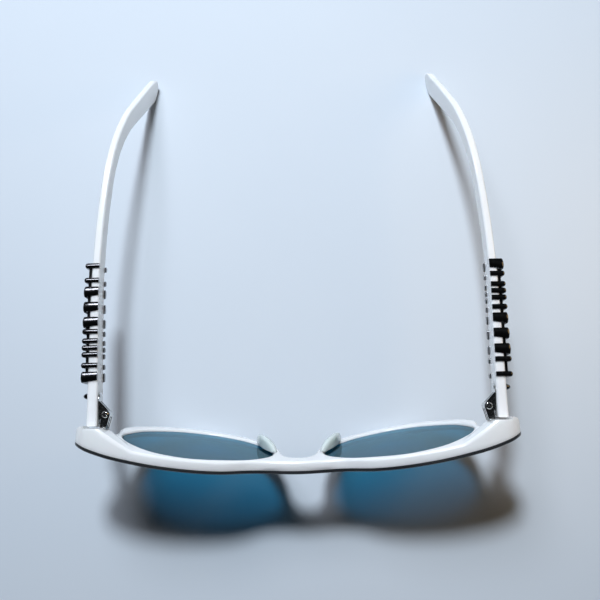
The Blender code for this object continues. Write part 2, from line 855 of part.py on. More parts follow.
def temple_hinge_mesh():
    leaf = temple_leaf_plate(0.0, HINGE_OFFSET - LEAF_PROUD)
    root = HINGE_OFFSET - LEAF_PROUD + LEAF_THICKNESS / 2
    base = [(root, -TEMPLE_ARM_FRONT), (root, TEMPLE_ARM_REAR)]
    for index in range(1, KNUCKLE_COUNT, 2):
        leaf = combine("UNION", leaf, knuckle_mesh(index, base))
    return combine("DIFFERENCE", leaf, hinge_bore(), rivet_hole())


def hinge_screw_mesh():
    top = HINGE_HEIGHT / 2
    head, shank = SCREW_HEAD_DIAMETER / 2, SCREW_DIAMETER / 2
    chamfer = SCREW_HEAD_HEIGHT / 3
    profile = (
        (0, top + SCREW_HEAD_HEIGHT),
        (head - chamfer, top + SCREW_HEAD_HEIGHT),
        (head, top + SCREW_HEAD_HEIGHT - chamfer),
        (head, top),
        (shank, top),
        (shank, -top),
        (0, -top),
    )
    screw = turned_mesh("screw", profile, 20)
    slot = box_mesh(
        "slot",
        (-SCREW_HEAD_DIAMETER, -SCREW_SLOT / 2, top + SCREW_HEAD_HEIGHT - SCREW_SLOT),
        (SCREW_HEAD_DIAMETER, SCREW_SLOT / 2, top + 2 * SCREW_HEAD_HEIGHT),
    )
    return combine("DIFFERENCE", screw, slot)


def rivet_mesh():
    """A stud with a domed head outside the temple and a shank through to the leaf."""
    middle = temple_middle(RIVET_SETBACK)
    face = middle + temple_thickness(RIVET_SETBACK) / 2 + BUTT_GAP / 4
    inner = HINGE_OFFSET - LEAF_PROUD
    head, shank = RIVET_HEAD_DIAMETER / 2, RIVET_DIAMETER / 2
    dome = [
        (head * math.sin(turn), face + RIVET_HEAD_HEIGHT * math.cos(turn))
        for turn in (math.pi / 2 * i / 5 for i in range(6))
    ]
    dome[0] = (0, dome[0][1])
    rivet = turned_mesh("rivet", dome + [(shank, face), (shank, inner), (0, inner)], 16)
    rivet.transform(rivet_axis())
    return rivet


# Ornament


def arc_points(centre, start, steps):
    """A quarter turn of the bar's outer corner, clockwise from a start angle."""
    return [
        (
            centre[0] + BAR_CORNER * math.cos(start - math.pi / 2 * i / steps),
            centre[1] + BAR_CORNER * math.sin(start - math.pi / 2 * i / steps),
        )
        for i in range(steps + 1)
    ]


def bar_mesh(along, width, pitch):
    """One clip: over the temple's top, down its outer side, under it and up a short lip inside.

    Its outer side flares towards the front.
    """
    half_thick = temple_thickness(along) / 2
    half_high = temple_height(along) / 2
    near, far = half_high + BAR_GAP, half_high + BAR_GAP + BAR_WALL
    outer = half_thick + BAR_PROUD
    seat = half_thick + RAIL_THICKNESS + 2 * BAR_GAP
    lip = -half_thick - BAR_GAP
    loop = [(lip + BAR_GAP, near), (lip + BAR_GAP, far), (half_thick, far)]
    loop += arc_points((outer - BAR_CORNER, far - BAR_CORNER), math.pi / 2, 2)
    loop += arc_points((outer - BAR_CORNER, BAR_CORNER - far), 0.0, 2)
    loop += [(half_thick, -far), (lip - BAR_LIP, -far), (lip - BAR_LIP, BAR_LIP_RISE - near)]
    loop += [(lip, BAR_LIP_RISE - near), (lip, -near), (seat, -near), (seat, near)]
    mesh = outline_mesh(
        "bar", [(loop, 0)], width / 2 - BAR_EDGE_ROUND, bevel=BAR_EDGE_ROUND
    )
    flare = BAR_FLARE + BAR_FLARE_SHARE * (width - BAR_NARROW)

    def shape(point):
        out = max(point.x - half_thick, 0.0) / BAR_PROUD
        ahead = point.z + flare * out * (0.5 + point.z / width)
        return placed_on_temple(along - ahead, point.y, point.x, pitch)

    return moved(mesh, shape)


def bar_row(side):
    """(distance from the butt, width) of each clip of one temple, from front to back."""
    row = BAR_ROW
    if side == "left":
        row = [(1 - share, width) for share, width in reversed(BAR_ROW)]
    return [(BAR_ROW_START[side] + share * BAR_ROW_LENGTH, width) for share, width in row]


def rail_mesh(side, pitch):
    start = BAR_ROW_START[side]
    end = start + BAR_ROW_LENGTH
    mesh = box_mesh(
        "rail",
        (start - RAIL_OVERHANG, -RAIL_HEIGHT / 2, BAR_GAP),
        (end + RAIL_OVERHANG, RAIL_HEIGHT / 2, BAR_GAP + RAIL_THICKNESS),
    )
    sliced(mesh, 0, [TIP_BOW_START] + stations(TIP_BOW_START, end, BEND_STEP))
    return moved(
        mesh, lambda p: placed_on_temple(p.x, p.y, temple_thickness(p.x) / 2 + p.z, pitch)
    )


# Assembly


def lowest_point(meshes, turn):
    return min((turn @ vertex.co).z for mesh in meshes for vertex in mesh.vertices)


def main():
    clear_scene()
    make_collection("Cat eye sunglasses")
    make_collection("Cutters")
    white = material("white_acetate", (0.83, 0.82, 0.78), 0.18)
    black = material("black_acetate", (0.012, 0.013, 0.016), 0.12)
    blue = material("blue_lens", (0.12, 0.24, 0.36), 0.05, transmission=0.8)
    clear = material("clear_acetate", (0.78, 0.80, 0.76), 0.2, transmission=0.3)
    steel = material("hinge_steel", (0.62, 0.62, 0.60), 0.3, metallic=1.0)
    chrome = material("dark_chrome", (0.10, 0.10, 0.105), 0.1, metallic=1.0)

    core, laminate = front_meshes()
    tilt = Matrix.Rotation(FRONT_TILT, 4, "X")
    lift = -lowest_point((core, laminate), tilt)

    root = empty("glasses", (0, 0, 0))
    front = empty("front", (0, 0, lift), root)
    front.rotation_euler.x = FRONT_TILT

    half_width = (FACE_FORM_RADIUS - FRONT_THICKNESS / 2) * math.sin(
        (EYE_TEMPORAL_U + WING_REACH) / FACE_FORM_RADIUS
    )
    axis_x = half_width - WING_OVERHANG - TEMPLE_THICKNESS - HINGE_OFFSET
    hinge_u = FACE_FORM_RADIUS * math.asin(axis_x / FACE_FORM_RADIUS)
    at_face = tilt @ formed((hinge_u, CREST_V - TEMPLE_BELOW_CREST, 0))
    seat_y = at_face.y + END_PIECE_DEPTH
    axis = Vector((axis_x, seat_y + TEMPLE_SETBACK, at_face.z + lift))
    pitch = temple_pitch(axis.z)

    sides = {
        "left": empty("temple_hinge_axis_left", axis, root),
        "right": empty("temple_hinge_axis_right", (-axis.x, axis.y, axis.z), root),
    }
    fronts = {"left": front, "right": front}

    to_front = (Matrix.Translation((0, 0, lift)) @ tilt).inverted()
    seat = seat_mesh(half_width - axis_x)
    for cutter in (seat, front_leaf_plate(LEAF_CLEARANCE)):
        cutter.transform(Matrix.Translation(axis))
        twin = mirrored(cutter)
        for tool in (cutter, twin):
            tool.transform(to_front)
            core = combine("DIFFERENCE", core, tool)

    add_part("frame_front", core, white, front)
    add_part("front_laminate", laminate, black, front)
    add_pair("lens", lens_mesh(), blue, fronts)
    add_pair("nose_pad", nose_pad_mesh(), clear, fronts)

    add_pair("front_hinge", front_hinge_mesh(), steel, sides)
    add_pair("hinge_screw", hinge_screw_mesh(), steel, sides)

    temple = combine(
        "DIFFERENCE",
        temple_blank(pitch),
        temple_leaf_plate(LEAF_CLEARANCE, 0.0),
        rivet_hole(),
    )
    add_pair("temple", temple, white, sides)
    add_pair("temple_core", core_wire_mesh(pitch), steel, sides)
    add_pair("temple_hinge", temple_hinge_mesh(), steel, sides)
    add_pair("temple_rivet", rivet_mesh(), chrome, sides)
    add_part("ornament_rail_left", rail_mesh("left", pitch), chrome, sides["left"])
    add_part("ornament_rail_right", mirrored(rail_mesh("right", pitch)), chrome, sides["right"])
    for number, (place, width) in enumerate(bar_row("left"), 1):
        add_part(f"ornament_bar_{number:02d}_left", bar_mesh(place, width, pitch), chrome, sides["left"])
    for number, (place, width) in enumerate(bar_row("right"), 1):
        clip = mirrored(bar_mesh(place, width, pitch))
        add_part(f"ornament_bar_{number:02d}_right", clip, chrome, sides["right"])

    bpy.context.view_layer.update()
    backs = [
        (obj.matrix_world @ vertex.co).y
        for obj in bpy.data.collections["Cat eye sunglasses"].objects
        if obj.type == "MESH"
        for vertex in obj.data.vertices
    ]
    root.location.y = -(min(backs) + max(backs)) / 2


main()
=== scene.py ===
"""Looks for the cat eye sunglasses: fine surfaces, finishes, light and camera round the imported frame."""

import json
import math

import bmesh
import bpy
from mathutils import Matrix, Vector


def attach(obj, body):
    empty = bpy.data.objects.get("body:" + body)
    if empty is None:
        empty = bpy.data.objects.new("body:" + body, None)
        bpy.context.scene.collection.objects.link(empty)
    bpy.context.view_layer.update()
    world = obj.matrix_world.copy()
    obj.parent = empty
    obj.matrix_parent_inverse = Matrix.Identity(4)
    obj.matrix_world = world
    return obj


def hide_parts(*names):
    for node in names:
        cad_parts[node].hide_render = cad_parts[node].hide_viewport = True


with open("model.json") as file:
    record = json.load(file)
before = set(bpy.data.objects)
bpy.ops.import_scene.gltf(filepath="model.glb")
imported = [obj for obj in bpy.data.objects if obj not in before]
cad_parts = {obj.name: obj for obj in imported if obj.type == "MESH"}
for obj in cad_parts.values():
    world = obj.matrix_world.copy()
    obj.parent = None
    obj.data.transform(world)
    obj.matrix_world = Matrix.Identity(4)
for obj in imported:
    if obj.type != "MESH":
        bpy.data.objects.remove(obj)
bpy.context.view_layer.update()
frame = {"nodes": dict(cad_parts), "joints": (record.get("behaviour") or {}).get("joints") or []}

MM = 0.001

# Front
LENS_WIDTH = 51.2 * MM
LENS_HEIGHT = 38.1 * MM
BRIDGE_WIDTH = 18.4 * MM
BRIDGE_HEIGHT = 6.2 * MM
BROW_HEIGHT = 3.3 * MM
RIM_WIDTH = 3.8 * MM
NASAL_RIM_WIDTH = 3.2 * MM
WING_REACH = 12.7 * MM
WING_RISE = 5.2 * MM
WING_HEIGHT = 12.2 * MM
FRONT_THICKNESS = 4.4 * MM
LAMINATE_THICKNESS = 1.3 * MM
GLUE_GAP = 0.02 * MM
EDGE_ROUND = 0.9 * MM
FACE_FORM_RADIUS = 207 * MM
FRONT_TILT = math.radians(9.6)
END_PIECE_DEPTH = 8.25 * MM
END_PIECE_SPARE = 2.0 * MM
END_PIECE_LIP = 0.8 * MM
END_PIECE_CORNER = 2.4 * MM
END_PIECE_RAMP = 12.6 * MM
END_PIECE_RAMP_BEYOND = 6.2 * MM
END_PIECE_RAMP_SOFTNESS = 0.03
END_PIECE_FADE = 0.8

# Lenses
LENS_THICKNESS = 1.6 * MM
LENS_INSET = 2.1 * MM
LENS_CLEARANCE = 0.1 * MM
LENS_RIDGE = 0.4 * MM
LENS_EDGE_FLAT = 0.1 * MM

# Nose pads
PAD_LENGTH = 19.0 * MM
PAD_WIDTH = 4.4 * MM
PAD_DEPTH = 3.9 * MM
PAD_LEAN = 1.5 * MM
PAD_DROP = 2.5 * MM
PAD_SEAT = 2.2 * MM
PAD_GAP = 0.02 * MM

# Temples
TEMPLE_LENGTH = 143 * MM
TEMPLE_HEIGHT = 8.2 * MM
TEMPLE_NECK_HEIGHT = 6.2 * MM
TEMPLE_TIP_HEIGHT = 8.8 * MM
TEMPLE_THICKNESS = 3.5 * MM
TEMPLE_REAR_THICKNESS = 2.5 * MM
TEMPLE_EDGE_ROUND = 0.8 * MM
TEMPLE_TOE_IN = math.radians(0.1)
EAR_START = 82 * MM
EAR_RADIUS = 40 * MM
EAR_ANGLE = math.radians(46)
TIP_BOW = 12.3 * MM
TIP_BOW_START = 39 * MM
TEMPLE_SETBACK = 4.3 * MM
TEMPLE_BELOW_CREST = 6.2 * MM
BUTT_GAP = 0.4 * MM
TEMPLE_SIDE_GAP = 0.5 * MM

# Hinges
HINGE_OFFSET = 2.4 * MM
HINGE_HEIGHT = 5.0 * MM
KNUCKLE_COUNT = 5
KNUCKLE_DIAMETER = 2.8 * MM
KNUCKLE_GAP = 0.08 * MM
LEAF_THICKNESS = 0.8 * MM
LEAF_LENGTH = 11.0 * MM
FRONT_LEAF_START = 0.3 * MM
FRONT_LEAF_END = 3.6 * MM
FRONT_ARM_INNER = 0.1 * MM
FRONT_ARM_OUTER = 1.9 * MM
TEMPLE_ARM_FRONT = 1.6 * MM
TEMPLE_ARM_REAR = 4.8 * MM
LEAF_PROUD = 0.2 * MM
LEAF_CLEARANCE = 0.03 * MM
SCREW_DIAMETER = 1.4 * MM
SCREW_HEAD_DIAMETER = 2.2 * MM
SCREW_HEAD_HEIGHT = 0.8 * MM
SCREW_SLOT = 0.4 * MM
BORE_CLEARANCE = 0.08 * MM
HINGE_EDGE = 0.25 * MM
RIVET_SETBACK = 9.8 * MM
RIVET_RISE = 1.2 * MM
RIVET_DIAMETER = 1.2 * MM
RIVET_HEAD_DIAMETER = 2.0 * MM
RIVET_HEAD_HEIGHT = 1.6 * MM

# Clips on the temples
BAR_NARROW = 1.7 * MM
BAR_WIDE = 2.9 * MM
BAR_ROW_START = {"left": 13.75 * MM, "right": 16.05 * MM}
BAR_ROW_LENGTH = 36.4 * MM
BAR_PROUD = 2.2 * MM
BAR_FLARE = 0.1 * MM
BAR_FLARE_SHARE = 0.6
BAR_WALL = 0.7 * MM
BAR_GAP = 0.1 * MM
BAR_LIP = 0.35 * MM
BAR_LIP_RISE = 0.75 * MM
BAR_CORNER = 0.7 * MM
BAR_EDGE_ROUND = 0.3 * MM
BAR_CROWN = 0.4 * MM
BAR_STEP = 0.2 * MM
RAIL_THICKNESS = 0.8 * MM
RAIL_EDGE = 0.15 * MM

# Lens outline as shares of its boxed width and height, from the nasal corner over the top
EYE_SHAPE = (
    (0.000, 0.630),
    (0.104, 0.795),
    (0.328, 0.911),
    (0.621, 1.000),
    (0.855, 0.942),
    (1.000, 0.735),
    (0.969, 0.472),
    (0.807, 0.176),
    (0.572, 0.000),
    (0.328, 0.018),
    (0.129, 0.189),
    (0.027, 0.407),
)
EYE_TOP = range(1, 4)
EYE_TEMPORAL = range(5, 9)
EYE_NASAL = range(9, 12)
PAD_UPPER_POINT = 0
PAD_LOWER_POINT = 10

# Wing outline as shares of its reach beyond the lens and of its height below the crest
WING_SHAPE = ((-0.57, 0.02), (0.40, 0.0), (0.85, 0.17), (1.0, 0.42), (0.87, 0.68), (0.58, 1.0))

# The right row of clips from front to back; the left row runs the other way
BAR_ROW = (
    (0.000, BAR_WIDE),
    (0.096, BAR_NARROW),
    (0.192, BAR_NARROW),
    (0.253, BAR_NARROW),
    (0.315, BAR_NARROW),
    (0.399, BAR_NARROW),
    (0.492, BAR_WIDE),
    (0.629, BAR_WIDE),
    (0.769, BAR_WIDE),
    (0.867, BAR_NARROW),
    (1.000, BAR_NARROW),
)

EYE_NASAL_U = BRIDGE_WIDTH / 2
EYE_TEMPORAL_U = EYE_NASAL_U + LENS_WIDTH
EYE_TOP_V = LENS_HEIGHT / 2
CREST_V = EYE_TOP_V + WING_RISE
RAMP_END_U = EYE_TEMPORAL_U + END_PIECE_RAMP_BEYOND
RAMP_START_U = RAMP_END_U - END_PIECE_RAMP
TEMPLE_V = CREST_V - TEMPLE_BELOW_CREST
RAMP_START_V = CREST_V - 1.38 * WING_HEIGHT
RAMP_END_V = CREST_V - 0.94 * WING_HEIGHT
CORE_BACK_W = -FRONT_THICKNESS
CORE_FRONT_W = -(LAMINATE_THICKNESS + GLUE_GAP)
LENS_MID_W = -(LENS_INSET + LENS_THICKNESS / 2)
SEAT_REACH = 0.75 * WING_HEIGHT
BRIDGE_ARCH_U = 0.20 * BRIDGE_WIDTH
BRIDGE_ARCH_DROP = 1.2 * BRIDGE_HEIGHT

# Fineness of the shown surfaces
STATION_STEP = 2.5 * MM
RAMP_STEP = 0.5 * MM
BEND_STEP = 1.5 * MM
EYE_STEPS = 14
FRONT_STEPS = 12
FRONT_ROUND_STEPS = 4
FLAT_ANGLE = 0.0005
KNUCKLE_SIDES = 48
TURN_STEPS = 48
CORNER_STEPS = 10
SHARP_ANGLE = math.radians(32)
EDGE_STEPS = 2
BAR_ROUND_STEPS = 3
PAD_AROUND = 64
PAD_RINGS = 40
TIP_ROUND_STEPS = 14
DOME_STEPS = 12
WELD_DISTANCE = 0.001 * MM
TURN_WELD = 0.01 * MM
SLICE_SNAP = 0.01 * MM
SPLIT_SNAP = 0.0001 * MM


def smoothstep(low, high, value):
    share = min(max((value - low) / (high - low), 0.0), 1.0)
    return share * share * (3 - 2 * share)


def blend_between(knots, value):
    """Straight line through (position, size) knots."""
    for (start, first), (end, second) in zip(knots, knots[1:]):
        if value <= end:
            share = max((value - start) / (end - start), 0.0)
            return first + (second - first) * share
    return knots[-1][1]


# Mesh helpers


def evaluated_mesh(obj):
    bpy.context.view_layer.update()
    graph = bpy.context.evaluated_depsgraph_get()
    return bpy.data.meshes.new_from_object(obj.evaluated_get(graph), depsgraph=graph)


def tool_object(name, mesh):
    obj = bpy.data.objects.new(name, mesh)
    bpy.context.scene.collection.objects.link(obj)
    return obj


def weld(mesh):
    work = bmesh.new()
    work.from_mesh(mesh)
    bmesh.ops.remove_doubles(work, verts=work.verts, dist=WELD_DISTANCE)
    bmesh.ops.recalc_face_normals(work, faces=work.faces)
    work.to_mesh(mesh)
    work.free()
    return mesh


def outline_mesh(name, loops, half_flat, bevel=0.0, bevel_steps=0, grow=0.0):
    """A flat plate in XY from closed loops, Z from -(half_flat + bevel) to the same above."""
    curve = bpy.data.curves.new(name, "CURVE")
    curve.dimensions = "2D"
    curve.fill_mode = "BOTH"
    curve.extrude = half_flat
    curve.bevel_depth = bevel
    curve.bevel_resolution = bevel_steps
    curve.offset = grow - bevel
    for loop, steps in loops:
        if steps:
            spline = curve.splines.new("BEZIER")
            spline.bezier_points.add(len(loop) - 1)
            for point, (x, y) in zip(spline.bezier_points, loop):
                point.co = (x, y, 0)
                point.handle_left_type = "AUTO"
                point.handle_right_type = "AUTO"
            spline.resolution_u = steps
        else:
            spline = curve.splines.new("POLY")
            spline.points.add(len(loop) - 1)
            for point, (x, y) in zip(spline.points, loop):
                point.co = (x, y, 0, 1)
        spline.use_cyclic_u = True
    obj = tool_object(name, curve)
    mesh = weld(evaluated_mesh(obj))
    bpy.data.objects.remove(obj, do_unlink=True)
    return mesh


def turned_mesh(name, profile, steps):
    """A profile of (radius, height) points, top to bottom, turned about Z."""
    mesh = bpy.data.meshes.new(name)
    points = [(radius, 0, height) for radius, height in profile]
    mesh.from_pydata(points, [(i, i + 1) for i in range(len(points) - 1)], [])
    obj = tool_object(name, mesh)
    screw = obj.modifiers.new("Turn", "SCREW")
    screw.steps = steps
    screw.render_steps = steps
    screw.use_merge_vertices = True
    screw.merge_threshold = TURN_WELD
    made = weld(evaluated_mesh(obj))
    bpy.data.objects.remove(obj, do_unlink=True)
    return made


def box_mesh(name, low, high):
    work = bmesh.new()
    bmesh.ops.create_cube(work, size=1.0)
    low, high = Vector(low), Vector(high)
    bmesh.ops.scale(work, vec=high - low, verts=work.verts)
    bmesh.ops.translate(work, vec=(low + high) / 2, verts=work.verts)
    mesh = bpy.data.meshes.new(name)
    work.to_mesh(mesh)
    work.free()
    return mesh


def cylinder_mesh(name, radius, low, high):
    """A cylinder on the Z axis from low to high."""
    work = bmesh.new()
    bmesh.ops.create_cone(
        work, cap_ends=True, segments=TURN_STEPS, radius1=radius, radius2=radius, depth=high - low
    )
    bmesh.ops.translate(work, vec=(0, 0, (low + high) / 2), verts=work.verts)
    mesh = bpy.data.meshes.new(name)
    work.to_mesh(mesh)
    work.free()
    return mesh


def combine(operation, mesh, *others):
    """The Boolean of mesh with each of the others in turn."""
    for other in others:
        body = tool_object("body", mesh)
        tool = tool_object("tool", other)
        step = body.modifiers.new("Cut", "BOOLEAN")
        step.operation = operation
        step.object = tool
        mesh = weld(evaluated_mesh(body))
        bpy.data.objects.remove(body, do_unlink=True)
        bpy.data.objects.remove(tool, do_unlink=True)
    return mesh


def sliced(mesh, axis, places):
    """Extra edge loops where planes square to an axis meet the mesh, so that it can be bent."""
    work = bmesh.new()
    work.from_mesh(mesh)
    bmesh.ops.dissolve_limit(
        work, angle_limit=FLAT_ANGLE, verts=work.verts, edges=work.edges, delimit={"SEAM"}
    )
    normal = Vector((0, 0, 0))
    normal[axis] = 1
    for place in places:
        cut = bmesh.ops.bisect_plane(
            work,
            geom=work.verts[:] + work.edges[:] + work.faces[:],
            plane_co=normal * place,
            plane_no=normal,
            dist=SLICE_SNAP,
        )
        for item in cut["geom_cut"]:
            if isinstance(item, bmesh.types.BMEdge):
                item.seam = True
    work.to_mesh(mesh)
    work.free()
    return mesh


def half_kept(mesh, place, keep_above):
    """The closed part of a mesh above or below Z = place."""
    work = bmesh.new()
    work.from_mesh(mesh)
    cut = bmesh.ops.bisect_plane(
        work,
        geom=work.verts[:] + work.edges[:] + work.faces[:],
        plane_co=(0, 0, place),
        plane_no=(0, 0, 1),
        dist=SPLIT_SNAP,
        clear_inner=keep_above,
        clear_outer=not keep_above,
    )
    rim = [item for item in cut["geom_cut"] if isinstance(item, bmesh.types.BMEdge)]
    bmesh.ops.triangle_fill(work, edges=rim, use_beauty=True)
    bmesh.ops.recalc_face_normals(work, faces=work.faces)
    made = bpy.data.meshes.new("half")
    work.to_mesh(made)
    work.free()
    return made


def moved(mesh, move):
    """The mesh in triangles, with each point put through a function."""
    work = bmesh.new()
    work.from_mesh(mesh)
    bmesh.ops.triangulate(work, faces=work.faces)
    for vertex in work.verts:
        vertex.co = move(vertex.co)
    work.to_mesh(mesh)
    work.free()
    return weld(mesh)


def mirrored(mesh):
    twin = mesh.copy()
    twin.transform(Matrix.Diagonal((-1, 1, 1, 1)))
    twin.flip_normals()
    return twin


def stations(low, high, step):
    count = math.ceil((high - low) / step)
    return [low + (high - low) * i / count for i in range(1, count)]


# Front, first flat: u across, v up, w forward from the front face


def eye_outline():
    return [
        (EYE_NASAL_U + across * LENS_WIDTH, (up - 0.5) * LENS_HEIGHT) for across, up in EYE_SHAPE
    ]


def outward(points, index, distance):
    """The point of a clockwise loop moved square to its neighbours, away from the middle."""
    before, after = points[index - 1], points[(index + 1) % len(points)]
    along = Vector((after[0] - before[0], after[1] - before[1])).normalized()
    here = points[index]
    return (here[0] - along.y * distance, here[1] + along.x * distance)


def half_front_outline():
    """The left half of the front's outline, from the bridge's top over the wing to its underside."""
    eye = eye_outline()
    top = [(eye[i][0], eye[i][1] + BROW_HEIGHT) for i in EYE_TOP]
    bridge_top = top[0][1]
    wing = [
        (EYE_TEMPORAL_U + out * WING_REACH, CREST_V - down * WING_HEIGHT) for out, down in WING_SHAPE
    ]
    rim = [outward(eye, i, RIM_WIDTH) for i in EYE_TEMPORAL]
    nasal = [outward(eye, i, NASAL_RIM_WIDTH) for i in EYE_NASAL]
    arch = (BRIDGE_ARCH_U, bridge_top - BRIDGE_ARCH_DROP)
    return (
        [(0, bridge_top)] + top + wing + rim + nasal + [arch] + [(0, bridge_top - BRIDGE_HEIGHT)]
    )


def front_outline():
    half = half_front_outline()
    other = [(-u, v) for u, v in reversed(half[1:-1])]
    return list(reversed(half + other))


def eye_loops():
    left = eye_outline()
    right = [(-u, v) for u, v in reversed(left)]
    return left, right


def thickened(point):
    """The end pieces grow straight back behind the lamination."""
    u, v, w = point
    behind = (CORE_FRONT_W - w) / (FRONT_THICKNESS + CORE_FRONT_W)
    if behind <= 0:
        return Vector((u, v, w))
    full = END_PIECE_DEPTH - FRONT_THICKNESS
    share = max(abs(u) - RAMP_START_U, 0.0) / END_PIECE_RAMP
    across = (1 + END_PIECE_RAMP_SOFTNESS) * share * share / (share + END_PIECE_RAMP_SOFTNESS)
    across = min(across, 1 + END_PIECE_SPARE / full)
    fade = END_PIECE_FADE * max(RAMP_END_U - abs(u), 0.0)
    up = smoothstep(RAMP_START_V + fade, RAMP_END_V + fade, v)
    upright = (v - TEMPLE_V) * math.tan(FRONT_TILT)
    growth = behind * across * up * (full + upright)
    out = math.copysign(growth * math.tan(abs(u) / FACE_FORM_RADIUS), u)
    return Vector((u + out, v, w - growth))


def formed(point):
    """The flat front bent round the face, still upright."""
    u, v, w = point
    turn = u / FACE_FORM_RADIUS
    radius = FACE_FORM_RADIUS + w
    return Vector((radius * math.sin(turn), FACE_FORM_RADIUS - radius * math.cos(turn), v))


def lens_plate(eye, grow):
    """A plate with a V edge, for the lens itself or for the groove it sits in."""
    depth = (LENS_THICKNESS - LENS_EDGE_FLAT) / 2
    plate = outline_mesh("plate", [(eye, EYE_STEPS)], LENS_EDGE_FLAT / 2, bevel=depth, grow=grow)
    plate.transform(Matrix.Translation((0, 0, LENS_MID_W)))
    return plate


def lens_mesh():
    lens = lens_plate(eye_loops()[0], LENS_RIDGE)
    sliced(lens, 0, stations(EYE_NASAL_U, EYE_TEMPORAL_U, STATION_STEP))
    return moved(lens, formed)


def front_meshes():
    """The white core and the dark front lamination, both bent to the face form."""
    left, right = eye_loops()
    blank = outline_mesh(
        "front",
        [(front_outline(), FRONT_STEPS), (left, EYE_STEPS), (right, EYE_STEPS)],
        FRONT_THICKNESS / 2 - EDGE_ROUND,
        bevel=EDGE_ROUND,
        bevel_steps=FRONT_ROUND_STEPS,
    )
    blank.transform(Matrix.Translation((0, 0, -FRONT_THICKNESS / 2)))
    end = EYE_TEMPORAL_U + WING_REACH
    sliced(blank, 0, stations(-end, end, STATION_STEP))
    laminate = half_kept(blank, -LAMINATE_THICKNESS, True)
    core = half_kept(blank, CORE_FRONT_W, False)
    ramp = stations(RAMP_START_U - RAMP_STEP, RAMP_END_U + RAMP_STEP, RAMP_STEP)
    sliced(core, 0, ramp + [-u for u in ramp])
    sliced(core, 1, stations(RAMP_START_V - RAMP_STEP, CREST_V, RAMP_STEP))
    moved(core, thickened)
    groove = LENS_RIDGE + LENS_CLEARANCE
    core = combine("DIFFERENCE", core, lens_plate(left, groove), lens_plate(right, groove))
    return moved(core, formed), moved(laminate, formed)


def nose_pad_mesh():
    """Half an egg on the back of the nasal rim, leaning away from the nose."""
    work = bmesh.new()
    bmesh.ops.create_uvsphere(work, u_segments=PAD_AROUND, v_segments=PAD_RINGS, radius=1.0)
    mesh = bpy.data.meshes.new("pad")
    work.to_mesh(mesh)
    work.free()
    mesh = half_kept(mesh, 0.0, False)
    eye = eye_outline()
    upper = Vector(outward(eye, PAD_UPPER_POINT, PAD_SEAT))
    lower = Vector(outward(eye, PAD_LOWER_POINT, PAD_SEAT))
    along = (lower - upper).normalized()
    middle = (upper + lower) / 2 + along * PAD_DROP
    across = Vector((-along.y, along.x))

    def shape(point):
        depth = -point.z
        flat = (
            middle
            + along * (point.y * PAD_LENGTH / 2)
            + across * (point.x * PAD_WIDTH / 2 + depth * depth * PAD_LEAN)
        )
        return formed((flat.x, flat.y, CORE_BACK_W - PAD_GAP - depth * PAD_DEPTH))

    return moved(mesh, shape)


# Temple, in the frame of its hinge axis, for the left side: +X outward, +Y back


TEMPLE_BUTT_Y = BUTT_GAP - TEMPLE_SETBACK
NARROWING_START = 0.68 * EAR_START
NARROWING_HEIGHT = 0.45 * TEMPLE_HEIGHT + 0.55 * TEMPLE_NECK_HEIGHT
NECK_PLACE = EAR_START * 1.08
TIP_ROUND = TEMPLE_TIP_HEIGHT * 0.55
HEIGHT_KNOTS = (
    (0, TEMPLE_HEIGHT),
    (NARROWING_START, NARROWING_HEIGHT),
    (NECK_PLACE, TEMPLE_NECK_HEIGHT),
    (TEMPLE_LENGTH - TEMPLE_TIP_HEIGHT, TEMPLE_TIP_HEIGHT),
    (TEMPLE_LENGTH, TEMPLE_TIP_HEIGHT),
)


def temple_thickness(along):
    knots = ((0, TEMPLE_THICKNESS), (NARROWING_START, TEMPLE_REAR_THICKNESS))
    return blend_between(knots, along)


def temple_height(along):
    """Height across the centre line, closing in a round end at the tip."""
    height = blend_between(HEIGHT_KNOTS, along)
    from_end = TEMPLE_LENGTH - along
    if from_end < TIP_ROUND:
        share = 1 - from_end / TIP_ROUND
        height *= math.sqrt(max(1 - share * share, 0.0))
    return height


def temple_line(along):
    """Centre line in the side view: (back, up, slope) at a length from the butt."""
    if along <= EAR_START:
        return along, 0.0, 0.0
    bend = min((along - EAR_START) / EAR_RADIUS, EAR_ANGLE)
    back = EAR_START + EAR_RADIUS * math.sin(bend)
    up = -EAR_RADIUS * (1 - math.cos(bend))
    tail = along - EAR_START - EAR_RADIUS * bend
    return back + tail * math.cos(bend), up - tail * math.sin(bend), bend


def temple_stations():
    bend_end = EAR_START + EAR_RADIUS * EAR_ANGLE
    tip = TEMPLE_LENGTH - TIP_ROUND
    places = [0.0] + stations(0.0, EAR_START, STATION_STEP)
    places += [EAR_START] + stations(EAR_START, bend_end, BEND_STEP) + [bend_end]
    places += stations(bend_end, tip, BEND_STEP)
    quarter = math.pi / 2 / TIP_ROUND_STEPS
    places += [
        TEMPLE_LENGTH - (TEMPLE_LENGTH - tip) * (1 - math.sin(i * quarter))
        for i in range(TIP_ROUND_STEPS)
    ]
    return places


def temple_edge(along, side):
    back, up, slope = temple_line(along)
    half = side * temple_height(along) / 2
    return back + half * math.sin(slope), up + half * math.cos(slope)


def temple_middle(back):
    """How far the middle of the temple lies outside the hinge axis, toed in and bowed to the tip."""
    end = temple_line(TEMPLE_LENGTH)[0]
    bow = max((back - TIP_BOW_START) / (end - TIP_BOW_START), 0.0)
    start = HINGE_OFFSET + TEMPLE_THICKNESS / 2
    return start - back * math.tan(TEMPLE_TOE_IN) - TIP_BOW * bow * bow


PITCH_PLACES = 400


def temple_pitch(axis_height):
    """Slope that brings the tip's underside down to the surface that the glasses stand on."""
    places = [TEMPLE_LENGTH * i / PITCH_PLACES for i in range(PITCH_PLACES)]
    lowest = min((temple_edge(place, -1) for place in places), key=lambda edge: edge[1])
    reach = math.hypot(*lowest)
    return math.asin(axis_height / reach) - math.atan2(-lowest[1], lowest[0])


